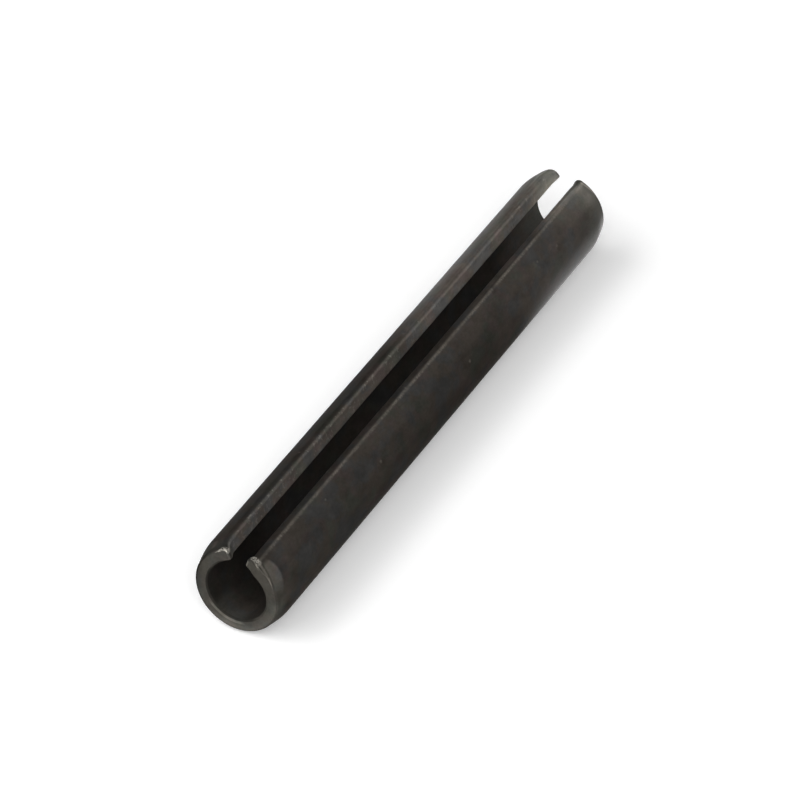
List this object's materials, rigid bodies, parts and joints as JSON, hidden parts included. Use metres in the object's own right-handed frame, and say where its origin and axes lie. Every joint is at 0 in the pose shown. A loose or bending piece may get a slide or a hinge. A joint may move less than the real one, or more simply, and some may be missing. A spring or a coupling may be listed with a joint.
{
  "type": "slotted spring pin",
  "caption": "Straight slotted spring pin rolled from blackened spring steel strip, with an open lengthwise slot and a tapered lead-in at each end.",
  "frame": {"origin": "on the pin's axis, at mid-length", "axes": "X along the pin, +Z through the middle of the slot, which faces up as the pin comes to rest lying down"},
  "size_m": [0.065, 0.0086, 0.0082],
  "materials": {
    "blackened_spring_steel": "satin black oxide over spring steel, worn lighter at the lips and ends"
  },
  "bodies": {
    "root": {"spring_pin": "blackened_spring_steel"}
  },
  "joints": []
}
